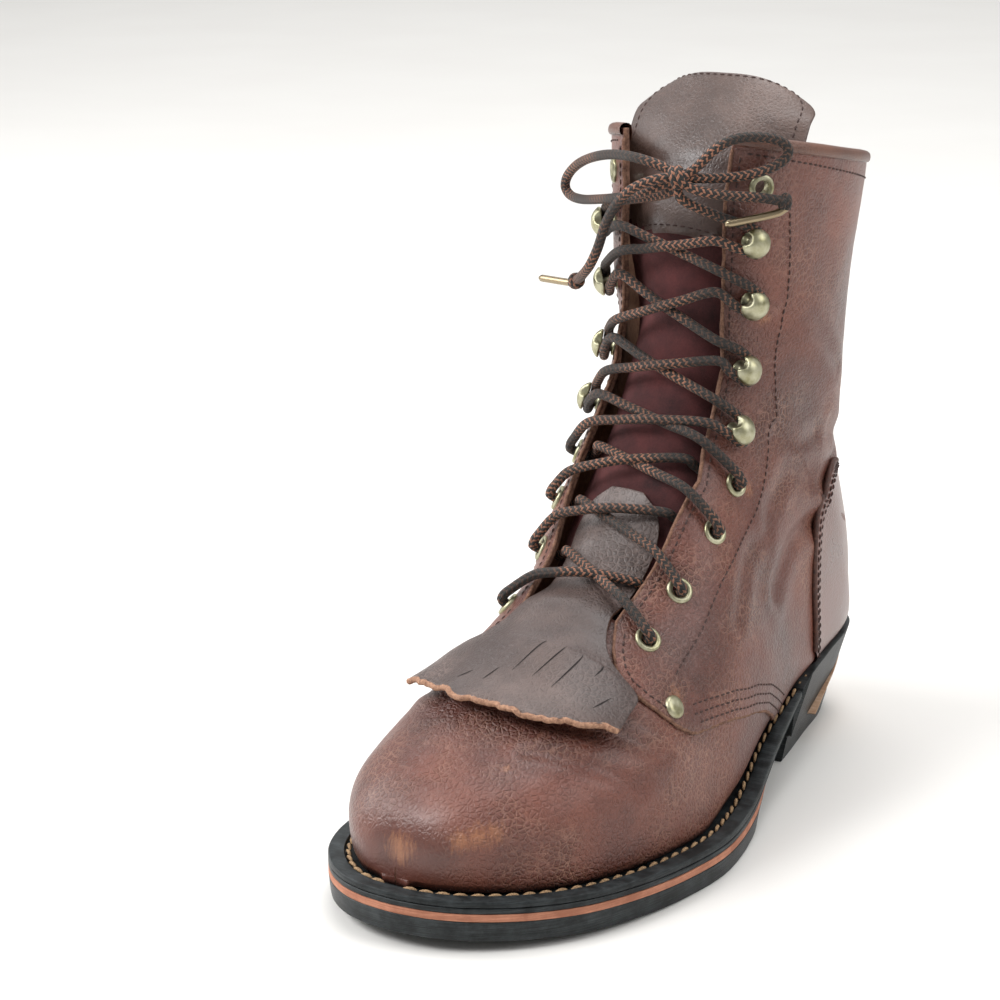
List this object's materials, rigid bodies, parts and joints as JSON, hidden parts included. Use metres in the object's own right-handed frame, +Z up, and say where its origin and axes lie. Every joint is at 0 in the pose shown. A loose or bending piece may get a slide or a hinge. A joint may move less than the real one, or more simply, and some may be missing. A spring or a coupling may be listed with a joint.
{
  "type": "logger boot",
  "caption": "Left lace-up logger boot: tall leather shaft, raised quarters, suede tongue, fringed flap, eyelets, speed hooks, stitched welt and undercut heel.",
  "frame": {"origin": "on the floor, under the middle of the boot", "axes": "+Z up, toe towards -Y, lateral side towards +X"},
  "size_m": [0.1258, 0.2937, 0.2557],
  "materials": {
    "leather": "pebbled oiled leather",
    "counter_leather": "smooth leather with a soft sheen",
    "suede": "brushed suede",
    "flap_leather": "worn dark leather, raw edge",
    "footbed": "plain footbed leather",
    "rubber": "matt black rubber",
    "stripe_rubber": "brown rubber sheet",
    "lift": "tan heel lift",
    "nickel": "antique nickel plate",
    "lace": "braided lace",
    "aglet": "crimped metal tip"
  },
  "bodies": {
    "root": {"outsole": "rubber", "slip_layer": "stripe_rubber", "midsole": "rubber", "welt": "rubber", "heel_wedge": "lift", "heel_base": "rubber", "insole": "footbed", "upper": "leather", "counter": "counter_leather", "tongue": "suede", "kiltie": "flap_leather", "eyelet_lateral_1": "nickel", "eyelet_lateral_2": "nickel", "eyelet_lateral_3": "nickel", "eyelet_lateral_4": "nickel", "eyelet_lateral_5": "nickel", "hook_lateral_1": "nickel", "hook_lateral_2": "nickel", "hook_lateral_3": "nickel", "hook_lateral_4": "nickel", "rivet_lateral": "nickel", "eyelet_medial_1": "nickel", "eyelet_medial_2": "nickel", "eyelet_medial_3": "nickel", "eyelet_medial_4": "nickel", "eyelet_medial_5": "nickel", "hook_medial_1": "nickel", "hook_medial_2": "nickel", "hook_medial_3": "nickel", "hook_medial_4": "nickel", "rivet_medial": "nickel", "lace_crossing_1": "lace", "lace_crossing_2": "lace", "lace_crossing_3": "lace", "lace_crossing_4": "lace", "lace_crossing_5": "lace", "lace_crossing_6": "lace", "lace_crossing_7": "lace", "lace_strand_lateral": "lace", "lace_strand_medial": "lace", "bow_knot": "lace", "bow_loop_lateral": "lace", "lace_tail_lateral": "lace", "end_knot_lateral": "lace", "aglet_lateral": "aglet", "bow_loop_medial": "lace", "lace_tail_medial": "lace", "end_knot_medial": "lace", "aglet_medial": "aglet"}
  },
  "joints": []
}
